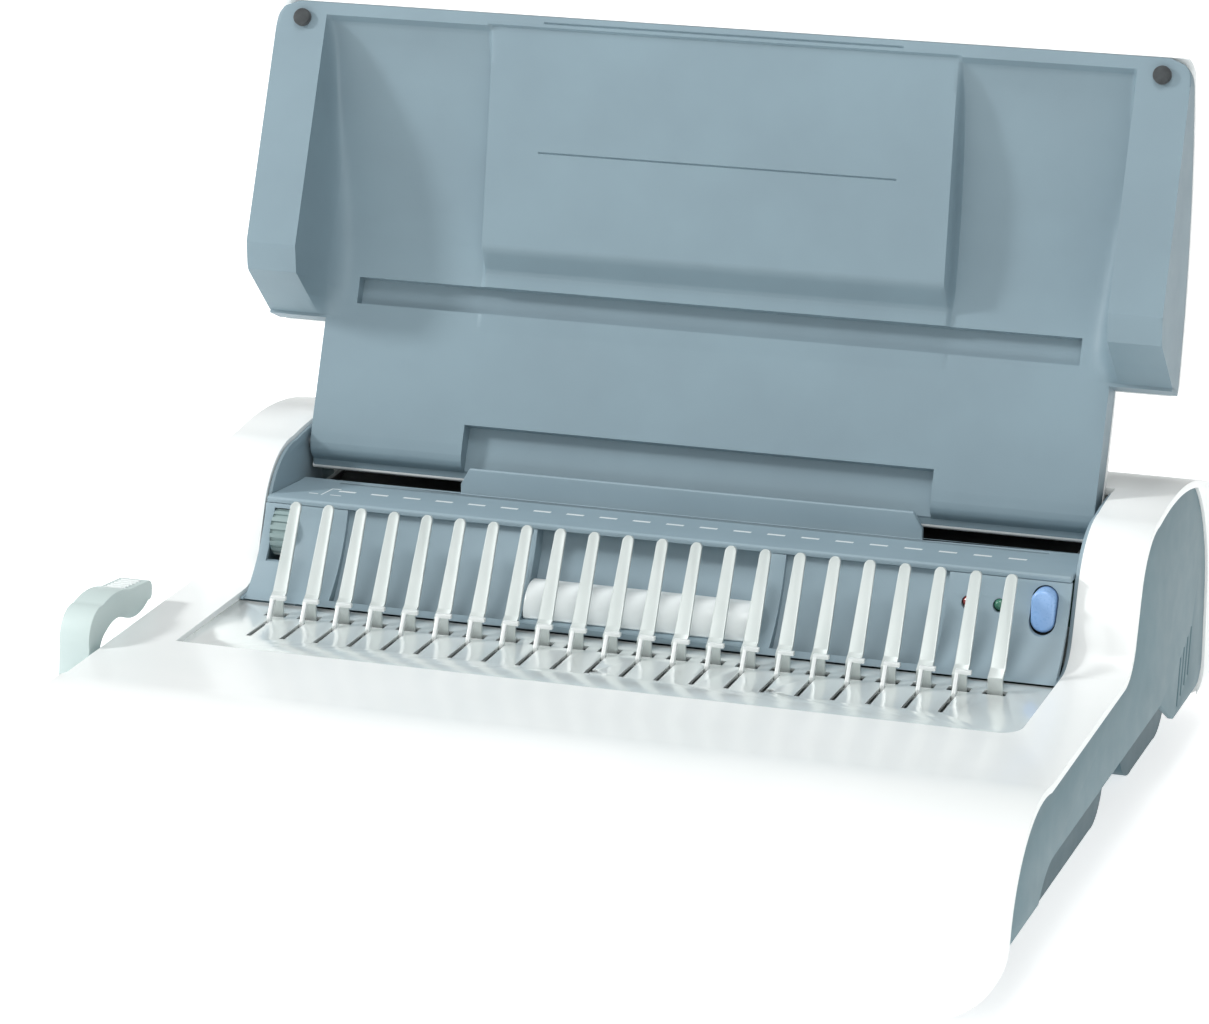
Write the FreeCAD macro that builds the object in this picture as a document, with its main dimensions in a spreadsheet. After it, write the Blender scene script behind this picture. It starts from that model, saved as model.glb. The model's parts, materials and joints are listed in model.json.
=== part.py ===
"""Electric comb binding machine: an openable lid over a punch and a comb opener.

Frame: +X to the operator's right, +Y to the back, +Z up, millimetres.
The origin is under the middle of the whole machine, on the surface the four rubber feet stand on.
Every object is drawn where it sits with the lid open, the combs shut and the punch back.
"""
import FreeCAD, Part
import math
import os
import re
import Sketcher

doc = FreeCAD.newDocument("comb_binding_machine")
Vector = FreeCAD.Vector

# ---------------------------------------------------------------- driving sizes
SIZES = {
    # white housing
    "half_width": 197.0,
    "front": 195.0,
    "rear": 186.0,
    "wall": 3.0,
    "deck_height": 73.0,
    "hump_height": 127.0,
    "corner_radius": 30.0,
    "cheek_half": 170.2,
    "window_half": 172.0,
    "window_front": 80.0,
    "window_rear": 74.5,
    # base moulding and feet
    "base_low": 26.0,
    "foot_half": 178.0,
    "foot_bottom": 1.2,
    "rubber_radius": 9.0,
    "rubber_height": 4.0,
    "rubber_span_side": 150.0,
    "rubber_span_deep": 120.0,
    # comb plate, fingers and hooks
    "pitch": 14.2875,
    "plate_top": 71.5,
    "plate_thick": 1.5,
    "plate_back": 15.5,
    "finger_first": 150.0,
    "finger_width": 6.0,
    "finger_base": 29.0,
    "slot_width": 2.1,
    "slot_front": 58.0,
    "slot_back": 35.5,
    "hook_thick": 1.5,
    "hook_height": 80.5,
    # punch
    "throat_front": 46.2,
    "throat_back": 49.0,
    "deck_front": 11.0,
    "deck_high": 108.8,
    "deck_low": 106.0,
    "throat_half": 152.0,
    "tongue_half": 99.0,
    "tongue_top": 117.2,
    "punch_height": 88.0,
    "pin_width": 8.0,
    "pin_thick": 3.0,
    "punch_stroke": 8.0,
    "shaft_back": 110.0,
    "shaft_radius": 5.0,
    "frame_inner": 161.0,
    # gears
    "gear_module": 1.0,
    "drive_teeth": 48.0,
    "idler_small_teeth": 12.0,
    "idler_large_teeth": 36.0,
    "motor_teeth": 10.0,
    # lever
    "lever_back": 95.0,
    "lever_height": 45.0,
    "lever_teeth": 24.0,
    "lever_inner": 200.5,
    "lever_width": 13.0,
    # lid
    "hinge_back": 60.0,
    "hinge_height": 119.0,
    "lid_angle": 113.0,
    "lid_half": 194.0,
    "neck_half": 168.5,
    "notch_half": 100.5,
}

sheet = doc.addObject("Spreadsheet::Sheet", "Sizes")
for row, (alias, value) in enumerate(SIZES.items(), start=1):
    sheet.set(f"A{row}", alias)
    sheet.set(f"B{row}", str(value))
    sheet.setAlias(f"B{row}", alias)
doc.recompute()

WORD = re.compile(r"[a-z][a-z_]+")
NODES = []


def bound(text):
    """The expression that FreeCAD evaluates: every alias is looked up in the sheet."""
    return WORD.sub(lambda word: "Sizes." + word.group(0) if word.group(0) in SIZES else word.group(0), text)


def size(text):
    """The number that an expression of aliases stands for now."""
    plain = WORD.sub(lambda word: repr(SIZES[word.group(0)]) if word.group(0) in SIZES else word.group(0), text)
    return FreeCAD.Units.Quantity(plain).Value


def keep(thing, name):
    """Marks an object as a finished sub-part: its label is its file's name."""
    thing.Label = name
    NODES.append(thing)
    return thing


# ---------------------------------------------------------------- ways to make a shape
def block(tag, side, deep, high):
    """A box between two expressions on each axis, bound to the sheet."""
    box = doc.addObject("Part::Box", tag)
    for length, edge, span in (("Length", "x", side), ("Width", "y", deep), ("Height", "z", high)):
        box.setExpression(length, bound(f"({span[1]}) - ({span[0]})"))
        box.setExpression(f"Placement.Base.{edge}", bound(span[0]))
    return box


AXIS_TURN = {
    "x": FreeCAD.Rotation(Vector(0, 1, 0), 90),
    "y": FreeCAD.Rotation(Vector(1, 0, 0), -90),
    "z": FreeCAD.Rotation(),
}


def rod(tag, axis, start, end, radius, first, second):
    """A round bar along an axis; first and second are its centre on the other two axes, in X, Y, Z order."""
    bar = doc.addObject("Part::Cylinder", tag)
    bar.Placement = FreeCAD.Placement(Vector(0, 0, 0), AXIS_TURN[axis])
    bar.setExpression("Radius", bound(radius))
    bar.setExpression("Height", bound(f"({end}) - ({start})"))
    bar.setExpression(f"Placement.Base.{axis}", bound(start))
    others = [letter for letter in "xyz" if letter != axis]
    bar.setExpression(f"Placement.Base.{others[0]}", bound(first))
    bar.setExpression(f"Placement.Base.{others[1]}", bound(second))
    return bar


def joined(tag, *things):
    fuse = doc.addObject("Part::MultiFuse", tag)
    fuse.Shapes = list(things)
    fuse.Refine = True
    return fuse


def cut(tag, base, *tools):
    tool = tools[0] if len(tools) == 1 else joined(tag + "_tool", *tools)
    result = doc.addObject("Part::Cut", tag)
    result.Base = base
    result.Tool = tool
    return result


PLANES = {"YZ": "YZ_Plane", "XZ": "XZ_Plane", "XY": "XY_Plane"}


def sketch(body, plane, tag, points, lift="0"):
    """A closed outline. A point is (u, v), or (u, v, mid_u, mid_v) when an arc through mid arrives there."""
    drawing = body.newObject("Sketcher::SketchObject", tag)
    role = PLANES[plane]
    origin_plane = [part for part in body.Origin.OriginFeatures if part.Role == role][0]
    drawing.AttachmentSupport = [(origin_plane, "")]
    drawing.MapMode = "FlatFace"
    drawing.setExpression("AttachmentOffset.Base.z", bound(lift))
    spots = [Vector(size(point[0]), size(point[1]), 0) for point in points]
    count = len(points)
    for index in range(count):
        following = points[(index + 1) % count]
        begin, end = spots[index], spots[(index + 1) % count]
        if len(following) == 4:
            middle = Vector(size(following[2]), size(following[3]), 0)
            drawing.addGeometry(Part.Arc(begin, middle, end), False)
        else:
            drawing.addGeometry(Part.LineSegment(begin, end), False)
    ends = []
    for index in range(count):
        near_start = (drawing.getPoint(index, 1) - spots[index]).Length < 1e-6
        ends.append((1, 2) if near_start else (2, 1))
    for index in range(count):
        before = (index - 1) % count
        drawing.addConstraint(Sketcher.Constraint("Coincident", before, ends[before][1], index, ends[index][0]))
        for kind, text in (("DistanceX", points[index][0]), ("DistanceY", points[index][1])):
            place = drawing.addConstraint(Sketcher.Constraint(kind, -1, 1, index, ends[index][0], size(text)))
            if WORD.search(text):
                drawing.setExpression(f"Constraints[{place}]", bound(text))
    return drawing


def new_body(tag):
    return doc.addObject("PartDesign::Body", tag)


def pad(body, drawing, tag, length, middle=False):
    feature = body.newObject("PartDesign::Pad", tag)
    feature.Profile = drawing
    feature.setExpression("Length", bound(length))
    feature.Midplane = middle
    return feature


def prism(tag, plane, points, length, lift="0", middle=False):
    """A body with one padded outline. On XZ the pad runs towards -Y."""
    body = new_body(tag)
    pad(body, sketch(body, plane, tag + "_outline", points, lift), tag + "_pad", length, middle)
    return body


def rectangle(left, right, low, high):
    return [(left, low), (right, low), (right, high), (left, high)]


def solid_feature(tag, shape):
    """For shells and repeated teeth, whose shape is set directly from Part's own functions."""
    feature = doc.addObject("Part::Feature", tag)
    feature.Shape = shape
    return feature


def outline_face(points):
    """A face in the YZ plane from points (y, z) or (y, z, mid_y, mid_z) as in sketch(), in numbers."""
    edges = []
    count = len(points)
    for index in range(count):
        here = points[index]
        following = points[(index + 1) % count]
        begin, end = Vector(0, here[0], here[1]), Vector(0, following[0], following[1])
        if len(following) == 4:
            edges.append(Part.Arc(begin, Vector(0, following[2], following[3]), end).toShape())
        else:
            edges.append(Part.LineSegment(begin, end).toShape())
    return Part.Face(Part.Wire(edges))


def across(face, start, end):
    """A YZ face swept along X from start to end."""
    moved = face.copy()
    moved.translate(Vector(start, 0, 0))
    return moved.extrude(Vector(end - start, 0, 0))


def cuboid(x_low, x_high, y_low, y_high, z_low, z_high):
    return Part.makeBox(x_high - x_low, y_high - y_low, z_high - z_low, Vector(x_low, y_low, z_low))


def rounded_slab(half, y_low, y_high, z_low, z_high, radius_front, radius_rear):
    """A slab with rounded upright edges: the plan outline of a moulding."""
    slab = cuboid(-half, half, y_low, y_high, z_low, z_high)
    for level, radius in ((y_low, radius_front), (y_high, radius_rear)):
        upright = [edge for edge in slab.Edges if abs(edge.BoundBox.ZLength - (z_high - z_low)) < 1e-6
                   and abs(edge.CenterOfMass.y - level) < 1e-3]
        if radius:
            slab = slab.makeFillet(radius, upright)
    return slab


S = SIZES
DECK = S["deck_height"]
HUMP = S["hump_height"]
FRONT = -S["front"]
REAR = S["rear"]
HALF = S["half_width"]
WALL = S["wall"]


# ---------------------------------------------------------------- housing
def housing_side(bottom_front, bottom_rear):
    """The side view of the white housing: apron, flat deck, hump and back wall."""
    return outline_face([
        (FRONT, bottom_front),
        (FRONT + 5, 34),
        (FRONT + 67, DECK, FRONT + 21.5, 61.5),
        (-9, DECK + 1.5),
        (5, 84, -0.8, DECK + 4.2),
        (14, 107),
        (45, HUMP - 1.5, 25, 119.8),
        (127, 119, 86, HUMP),
        (178, 80, 159.5, 103),
        (REAR - 2, 24, REAR, 52),
        (REAR - 12, bottom_rear, REAR - 4.5, bottom_rear + 5),
    ])


def offset_face(face, distance):
    return Part.Face(face.OuterWire.makeOffset2D(distance))


DEEP = 40.0
outer_face = housing_side(3, 8)
inner_face = offset_face(housing_side(-DEEP, -DEEP), -WALL)
outer_form = across(outer_face, -HALF, HALF)
plan_form = rounded_slab(HALF, FRONT - 1, REAR + 1, -DEEP, HUMP + 10, 6, 26)
front_form = cuboid(-HALF, HALF, FRONT - 5, REAR + 5, 3, HUMP + 10)
low_edges = [edge for edge in front_form.Edges if edge.BoundBox.YLength > 100 and edge.CenterOfMass.z < 4]
front_form = front_form.makeFillet(S["corner_radius"], low_edges)
inner_plan = rounded_slab(HALF - WALL, FRONT + 1, REAR - WALL, -DEEP, HUMP + 10, 4, 23)
cavity = across(inner_face, -HALF + WALL, HALF - WALL).common(inner_plan)

# The side cheeks fill an opening whose back edge follows the housing's rounded back.
panel_reach = outline_face([
    (FRONT - 10, 30),
    (-140, 30),
    (-116, 41, -131, 37.5),
    (64, 41),
    (90, 27),
    (134, 27),
    (145, 38, 142, 30.5),
    (145, 66),
    (104, 126, 133, 103),
    (104, 140),
    (FRONT - 10, 140),
])
panel_face = inner_face.common(panel_reach)
side_opening = outline_face([
    (FRONT - 20, -DEEP), (145, -DEEP), (145, 66), (104, 126, 133, 103), (104, 140), (FRONT - 20, 140),
])
side_opening = inner_face.common(side_opening)

top_window = cuboid(-S["window_half"], S["window_half"],
                    -S["window_front"], S["window_rear"], 60, HUMP + 10)
window_edges = [edge for edge in top_window.Edges if edge.BoundBox.ZLength > 60
                and edge.CenterOfMass.y < 0 and edge.CenterOfMass.x > 0]
top_window = top_window.makeFillet(9, window_edges)
inlet_cutout = cuboid(118, 147, REAR - 12, REAR + 5, 28, 50)
switch_cutout = cuboid(86, 106, REAR - 12, REAR + 5, 30, 46)
tray_cutout = cuboid(-151, 67, REAR - 14, REAR + 5, 28.5, 53.5)
housing = outer_form.common(plan_form).common(front_form).cut(cavity)
housing = housing.cut(across(side_opening, -HALF - 5, HALF + 5))
plate_rebate = cuboid(-174, 174, -S["window_front"] - 4.5, -15, 60, S["plate_top"] + 0.02)
housing = housing.cut(top_window).cut(inlet_cutout).cut(switch_cutout).cut(tray_cutout).cut(plate_rebate)
keep(solid_feature("housing_shape", housing), "upper_housing")

# ---------------------------------------------------------------- side cheeks
PANEL_GAP = 0.4
PANEL_FACE = HALF - 1.0
PANEL_BACK = PANEL_FACE - 2.6
cheek_plate = across(offset_face(panel_face.Faces[0], -PANEL_GAP), PANEL_BACK, PANEL_FACE)
SLIT_COUNT = 4
for number in range(SLIT_COUNT):
    slit = cuboid(PANEL_BACK - 1, PANEL_FACE + 1, -1, 1, 0, 20)
    slit.rotate(Vector(0, 0, 0), Vector(1, 0, 0), -14)
    slit.translate(Vector(0, 96 + 6.5 * number, 31 + 2.5 * number))
    cheek_plate = cheek_plate.cut(slit)
left_plate = cheek_plate.mirror(Vector(0, 0, 0), Vector(1, 0, 0))
shaft_hole = Part.makeCylinder(6.5, 20, Vector(-HALF - 5, -S["lever_back"], S["lever_height"]), Vector(1, 0, 0))
keep(solid_feature("right_cheek_shape", cheek_plate), "side_panel_right")
keep(solid_feature("left_cheek_shape", left_plate.cut(shaft_hole)), "side_panel_left")

# ---------------------------------------------------------------- base moulding and feet
base_body = prism("base_body", "YZ", [
    ("-181", "base_low + 12"),
    ("-175", "base_low", "-180", "base_low + 4"),
    ("-150", "base_low"),
    ("-118", "foot_bottom", "-143", "foot_bottom + 7"),
    ("20", "foot_bottom"),
    ("44", "base_low", "40", "foot_bottom + 8"),
    ("72", "base_low"),
    ("96", "foot_bottom", "76", "foot_bottom + 8"),
    ("136", "foot_bottom"),
    ("160", "base_low", "156", "foot_bottom + 8"),
    ("174", "base_low"),
    ("174", "base_low + 14"),
    ("-181", "base_low + 14"),
], "2 * foot_half", middle=True)
hollow = base_body.newObject("PartDesign::Pocket", "hollow_pocket")
hollow.Profile = sketch(base_body, "YZ", "hollow_outline", [
    ("-178", "base_low + 15"),
    ("-172", "base_low + wall", "-177", "base_low + 6"),
    ("-148", "base_low + wall"),
    ("-117", "foot_bottom + rubber_height + wall", "-141", "foot_bottom + 12"),
    ("19", "foot_bottom + rubber_height + wall"),
    ("42", "base_low + wall", "37", "foot_bottom + 12"),
    ("74", "base_low + wall"),
    ("97", "foot_bottom + rubber_height + wall", "79", "foot_bottom + 12"),
    ("135", "foot_bottom + rubber_height + wall"),
    ("158", "base_low + wall", "153", "foot_bottom + 12"),
    ("171", "base_low + wall"),
    ("171", "base_low + 15"),
])
hollow.setExpression("Length", bound("2 * (foot_half - wall)"))
hollow.Midplane = True
tray_gate = base_body.newObject("PartDesign::Pocket", "tray_gate")
tray_gate.Profile = sketch(base_body, "XZ", "tray_gate_outline",
                           rectangle("-152", "150", "base_low + wall", "base_low + 15"), "-175")
tray_gate.setExpression("Length", bound("5"))
tray_gate.Reversed = True
base_cuts = [rod(f"foot_recess_{index}", "z", "-1", "rubber_height", "rubber_radius + 0.05",
                 f"{side} * rubber_span_side", f"{deep} * rubber_span_deep")
             for index, (side, deep) in enumerate(((-1, -1), (1, -1), (-1, 1), (1, 1)))]
keep(cut("base_tray_shape", base_body, *base_cuts), "base_tray")

feet = [rod(f"rubber_foot_{index}", "z", "0", "rubber_height - 0.05", "rubber_radius",
            f"{side} * rubber_span_side", f"{deep} * rubber_span_deep")
        for index, (side, deep) in enumerate(((-1, -1), (1, -1), (-1, 1), (1, 1)))]
feet_group = doc.addObject("Part::Compound", "rubber_feet_group")
feet_group.Links = feet
keep(feet_group, "rubber_feet")



# ---------------------------------------------------------------- comb panel behind the fingers
PANEL_TOP = 106.1


def panel_region(near, far, low=71.9, high=PANEL_TOP):
    """The band between two copies of the panel's hollow curve, near and far millimetres behind the front."""
    return outline_face([
        (-14.5 + near, low),
        (10.5 + near, high, 0.6 + near, 86.5),
        (10.5 + far, high),
        (-14.5 + far, low, 0.6 + far, 86.5),
    ])


def mid_depth(height):
    """How far back the panel's front face is at a height: the same arc, by its centre and radius."""
    arc = Part.Arc(Vector(0, -14.5, 71.9), Vector(0, 0.6, 86.5), Vector(0, 10.5, PANEL_TOP)).toShape().Curve
    rise = height - arc.Center.z
    return arc.Center.y + math.sqrt(arc.Radius ** 2 - rise ** 2)


CHEEK = S["cheek_half"]
THROAT_LOW = 12.5
panel = across(panel_region(0, THROAT_LOW), -CHEEK, CHEEK)
for left, right, depth in ((-134, -53, 3.5), (53.6, 121, 3.5), (-51.5, 47.5, 9.5)):
    panel = panel.cut(across(panel_region(-3, depth, 68, PANEL_TOP + 3), left, right))
for left, right in ((-CHEEK - 1, -136), (123, CHEEK + 1)):
    panel = panel.cut(across(panel_region(2.5, THROAT_LOW + 3, 68, PANEL_TOP + 3), left, right))
sill = cuboid(-51.5, 47.5, -14.5, -2.0, 71.9, 74.2)
panel = panel.fuse(sill)
cheek_face = offset_face(housing_side(3, 8), -1.6)
HINGE = Vector(0, S["hinge_back"], S["hinge_height"])
PIN_RADIUS = 2.5
for side in (-1, 1):
    start = side * CHEEK if side > 0 else side * (CHEEK + 1.4)
    cheek = across(cheek_face, start, start + 1.4).common(
        cuboid(start - 1, start + 3, -15.5, 72, 71.9, HUMP + 5))
    boss_start = start if side > 0 else start - 5.5
    boss = Part.makeCylinder(4.4, 6.9, HINGE + Vector(boss_start, 0, 0), Vector(1, 0, 0))
    bore = Part.makeCylinder(PIN_RADIUS + 0.06, 20, HINGE + Vector(side * 174 - 10, 0, 0), Vector(1, 0, 0))
    panel = panel.fuse(cheek).fuse(boss).cut(bore)
DIAL_X = -162.0
DIAL_Y = 12.0
DIAL_Z = 94.0
DIAL_RADIUS = 10.0
LAMP_Z = 95.5
LAMP_PLACES = {"lamp_red": 129.5, "lamp_green": 142.2}
BUTTON_X = 160.2
BUTTON_Z = 95.5
BUTTON_HALF = 4.8
BUTTON_TALL = 8.6
panel = panel.cut(cuboid(DIAL_X - 4.2, DIAL_X + 4.2, -5, 26, DIAL_Z - 9.4, DIAL_Z + 10.4))
LAMP_HOLE = 2.6
for place in LAMP_PLACES.values():
    panel = panel.cut(Part.makeCylinder(LAMP_HOLE, 30, Vector(place, -10, LAMP_Z), Vector(0, 1, 0)))


def capsule(centre_x, centre_z, half, tall, start, end):
    """An upright rounded-end bar along Y: two round ends and the block between them."""
    straight = tall - half
    body = cuboid(centre_x - half, centre_x + half, start, end, centre_z - straight, centre_z + straight)
    for level in (centre_z - straight, centre_z + straight):
        body = body.fuse(Part.makeCylinder(half, end - start, Vector(centre_x, start, level), Vector(0, 1, 0)))
    return body.removeSplitter()


panel = panel.cut(capsule(BUTTON_X, BUTTON_Z, BUTTON_HALF + 0.6, BUTTON_TALL + 0.6, -20, 30))
keep(solid_feature("comb_panel_shape", panel.removeSplitter()), "comb_panel")

gauge_body = prism("comb_gauge_body", "YZ", [
    ("-9.2", "74.2"),
    ("0.4", "87.6", "-6.4", "83.4"),
    ("4.6", "87.6"),
    ("1.2", "80"),
    ("-3.4", "74.2"),
], "98.2", "-51.1")
keep(gauge_body, "comb_gauge")

# ---------------------------------------------------------------- punch deck with throat and tongue
deck_body = prism("deck_body", "YZ", [
    ("deck_front - 0.5", "106.3"),
    ("deck_front - 0.5", "deck_high - 1.2"),
    ("deck_front + 0.9", "deck_high", "deck_front - 0.1", "deck_high - 0.3"),
    ("throat_front", "deck_low"),
    ("51.6", "deck_low"),
    ("51.6", "deck_low - 2.6"),
    ("throat_front", "deck_low - 2.6"),
    ("24.5", "106.2"),
], "2 * cheek_half - 0.8", middle=True)
throat = deck_body.newObject("PartDesign::Pocket", "throat_pocket")
throat.Profile = sketch(deck_body, "XY", "throat_outline",
                        rectangle("-throat_half", "throat_half", "throat_front", "throat_back"), "deck_high + 5")
throat.setExpression("Length", bound("20"))
tongue = prism("tongue_body", "YZ", [
    ("throat_back + 0.2", "deck_low - 2.6"),
    ("throat_back + 0.2", "tongue_top - 0.8"),
    ("throat_back + 1", "tongue_top", "throat_back + 0.4", "tongue_top - 0.2"),
    ("51.6", "tongue_top - 0.6"),
    ("51.6", "deck_low - 2.6"),
], "2 * tongue_half", middle=True)
deck = joined("deck_shape", deck_body, tongue)
tongue_corners = []
for side in (-1, 1):
    edge = side * S["tongue_half"]
    face = Part.Face(Part.makePolygon([
        Vector(edge + side, 45, S["tongue_top"] - 7), Vector(edge + side, 45, S["tongue_top"] + 1),
        Vector(edge - side * 4.5, 45, S["tongue_top"] + 1), Vector(edge, 45, S["tongue_top"] - 7),
        Vector(edge + side, 45, S["tongue_top"] - 7)]))
    tongue_corners.append(solid_feature(f"tongue_corner_{side + 1}", face.extrude(Vector(0, 12, 0))))
keep(cut("deck_trimmed", deck, *tongue_corners), "punch_deck")

# ---------------------------------------------------------------- comb plate, fingers and hooks
FINGERS = 22
HOOKS = 21


def repeat(body, feature, tag, count):
    """A row of copies along X at the comb's pitch."""
    row = body.newObject("PartDesign::LinearPattern", tag)
    row.Originals = [feature]
    row.Direction = ([axis for axis in body.Origin.OriginFeatures if axis.Role == "X_Axis"][0], [""])
    row.setExpression("Length", bound(f"{count - 1} * pitch"))
    row.Occurrences = count
    body.Tip = row
    return row


plate = prism("plate_body", "XY", [
    ("-window_half - 1.5", "-window_front - 4"),
    ("window_half + 1.5", "-window_front - 4"),
    ("window_half + 1.5", "-plate_back"),
    ("-window_half - 1.5", "-plate_back"),
], "plate_thick", "plate_top - plate_thick")
doc.recompute()
slots = plate.newObject("PartDesign::Pocket", "hook_slots")
slots.Profile = sketch(plate, "XY", "slot_outline", rectangle(
    "-finger_first - slot_width / 2", "-finger_first + slot_width / 2", "-slot_front", "-slot_back"),
    "plate_top + 1")
slots.setExpression("Length", bound("plate_thick + 2"))
repeat(plate, slots, "hook_slot_row", HOOKS)
openings = plate.newObject("PartDesign::Pocket", "finger_openings")
openings.Profile = sketch(plate, "XY", "opening_outline", rectangle(
    "-finger_first - finger_width / 2 - 1.6", "-finger_first + finger_width / 2 + 1.6",
    "-finger_base - 2.4", "-finger_base + 3.2"), "plate_top + 1")
openings.setExpression("Length", bound("plate_thick + 2"))
repeat(plate, openings, "finger_opening_row", FINGERS)
doc.recompute()
plate_holes = [rod(f"plate_hole_{index}", "z", "plate_top - 5", "plate_top + 5", "1.6", place, "-54.5")
               for index, place in enumerate(("-5", "67"))]
keep(cut("plate_shape", plate, *plate_holes), "comb_plate")

# One finger: a bent strip seen from the side, trimmed by its tapered front view.
finger_side = outline_face([
    (-29.0, 60), (-29.0, 77.6), (-25.0, 80.2), (-5.7, 112.8), (-4.6, 112.2),
    (-24.0, 79.4), (-27.8, 77.0), (-27.8, 60),
])
half_base = S["finger_width"] / 2
half_tip = 2.3
finger_front = [
    Vector(-half_base, -60, 60), Vector(-half_base, -60, 80), Vector(-half_tip, -60, 110.4),
    Vector(0, -60, 112.75), Vector(half_tip, -60, 110.4), Vector(half_base, -60, 80), Vector(half_base, -60, 60),
]
finger_edges = [Part.LineSegment(finger_front[0], finger_front[1]).toShape(),
                Part.LineSegment(finger_front[1], finger_front[2]).toShape(),
                Part.Arc(finger_front[2], finger_front[3], finger_front[4]).toShape(),
                Part.LineSegment(finger_front[4], finger_front[5]).toShape(),
                Part.LineSegment(finger_front[5], finger_front[6]).toShape(),
                Part.LineSegment(finger_front[6], finger_front[0]).toShape()]
finger_view = Part.Face(Part.Wire(finger_edges)).extrude(Vector(0, 120, 0))
one_finger = across(finger_side, -5, 5).common(finger_view)
strip_half = S["finger_first"] + 8
row = [cuboid(-strip_half, strip_half, -27.8, -26.6, 58, 66)]
for number in range(FINGERS):
    finger = one_finger.copy()
    finger.translate(Vector(-S["finger_first"] + S["pitch"] * number, 0, 0))
    row.append(finger)
keep(solid_feature("fingers_shape", Part.makeCompound(row)), "comb_fingers")

# One hook: a leg through its slot, a bar across the finger's front.
HOOK_Y = -36.6
hook_leg = across(outline_face([
    (HOOK_Y - 1.0, 66.6),
    (HOOK_Y + 1.0, 66.6),
    (HOOK_Y + 1.0, 71.6),
    (-31.0, 78.4),
    (-31.0, S["hook_height"]),
    (-33.0, S["hook_height"]),
    (-33.0, 79.4),
    (HOOK_Y - 1.0, 72.4),
]), -S["hook_thick"] / 2, S["hook_thick"] / 2)
hook_arm = cuboid(-S["hook_thick"] / 2, 5.6, -33.0, -31.0, S["hook_height"] - 1.6, S["hook_height"])
hook_row = []
for number in range(HOOKS):
    hook = hook_leg.fuse(hook_arm).removeSplitter()
    hook.translate(Vector(-S["finger_first"] + S["pitch"] * number, 0, 0))
    hook_row.append(hook)
keep(solid_feature("hooks_shape", Part.makeCompound(hook_row)), "comb_hooks")
keep(block("slider_plate", ("-156", "156"), ("-62", "-33.6"), ("65", "66.6")), "hook_slider")

# ---------------------------------------------------------------- toothed pieces


def gear_face(teeth, phase, module=S["gear_module"], bore=0.0):
    """A spur gear seen along X, centred on the origin, with one tooth centred on the phase angle."""
    pitch_radius = teeth * module / 2
    turn = 2 * math.pi / teeth
    spots = []
    for tooth in range(int(teeth)):
        centre = phase + tooth * turn
        for radius, share in ((pitch_radius - 1.25 * module, -0.30), (pitch_radius + 0.9 * module, -0.105),
                              (pitch_radius + 0.9 * module, 0.105), (pitch_radius - 1.25 * module, 0.30)):
            angle = centre + share * turn
            spots.append((radius * math.cos(angle), radius * math.sin(angle)))
    face = outline_face(spots)
    if bore:
        hole = Part.Face(Part.Wire(Part.makeCircle(bore, Vector(0, 0, 0), Vector(1, 0, 0))))
        face = face.cut(hole).Faces[0]
    return face


def gear(teeth, phase, centre_y, centre_z, start, end, bore=0.0):
    solid = across(gear_face(teeth, phase, bore=bore), start, end)
    solid.translate(Vector(0, centre_y, centre_z))
    return solid


# ---------------------------------------------------------------- comb opener: lever, shaft, pinion, rack
LEVER_Y = -S["lever_back"]
LEVER_Z = S["lever_height"]
lever_outer = S["lever_inner"] + S["lever_width"]
lever_face = outline_face([
    (LEVER_Y - 9, 45),
    (LEVER_Y + 9, 45, LEVER_Y, 36),
    (-90.4, 64),
    (-83, 75.6, -88.4, 72.2),
    (-66, 76.2, -74.6, 77.8),
    (-42, 76.4, -54, 73.4),
    (-38.4, 79.4, -39, 77),
    (-42, 84.4, -39, 83.2),
    (-60, 86.2),
    (-86, 87.2, -72, 88.6),
    (-99.8, 73.6, -97.2, 82.6),
    (-101.6, 60),
])
keep(solid_feature("lever_shape", across(lever_face, -lever_outer, -S["lever_inner"]).cut(
    Part.makeCylinder(5.0, 40, Vector(-lever_outer - 1, LEVER_Y, LEVER_Z), Vector(1, 0, 0)))), "comb_lever")
keep(rod("lever_shaft_bar", "x", "-lever_inner - lever_width + 1", "-120", "5", "-lever_back", "lever_height"),
     "lever_shaft")
keep(solid_feature("lever_pinion_shape", gear(S["lever_teeth"], math.pi / 2, LEVER_Y, LEVER_Z, -142, -134, 5.0)),
     "lever_pinion")
tooth_pitch = math.pi * S["gear_module"]
pitch_line = LEVER_Z + S["lever_teeth"] * S["gear_module"] / 2
rack = cuboid(-141.6, -134.4, -104, -33.6, pitch_line + 1.3, 65).cut(
    cuboid(-150, -130, -110, -104 + 0.01, 0, 100))
RACK_TEETH = 9
for number in range(-1, RACK_TEETH):
    middle = LEVER_Y + tooth_pitch * (number - 0.5)
    tooth = outline_face([
        (middle - 0.27 * tooth_pitch, pitch_line + 1.4), (middle - 0.12 * tooth_pitch, pitch_line - 0.8),
        (middle + 0.12 * tooth_pitch, pitch_line - 0.8), (middle + 0.27 * tooth_pitch, pitch_line + 1.4),
    ])
    rack = rack.fuse(across(tooth, -141.6, -134.4))
keep(solid_feature("rack_shape", rack.removeSplitter()), "slider_rack")
bush_ring = rod("lever_bush_ring", "x", "-197", "-191", "6.5", "-lever_back", "lever_height")
bush_bore = rod("lever_bush_bore", "x", "-200", "-190", "5.05", "-lever_back", "lever_height")
keep(cut("lever_bush_shape", bush_ring, bush_bore), "lever_bush")
bracket_plate = block("bracket_plate", ("-130", "-127"), ("-lever_back - 12", "-lever_back + 12"),
                      ("foot_bottom + rubber_height + wall", "56"))
bracket_bore = rod("bracket_bore", "x", "-140", "-120", "5.05", "-lever_back", "lever_height")
keep(cut("bracket_shape", bracket_plate, bracket_bore), "lever_bracket")
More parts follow.
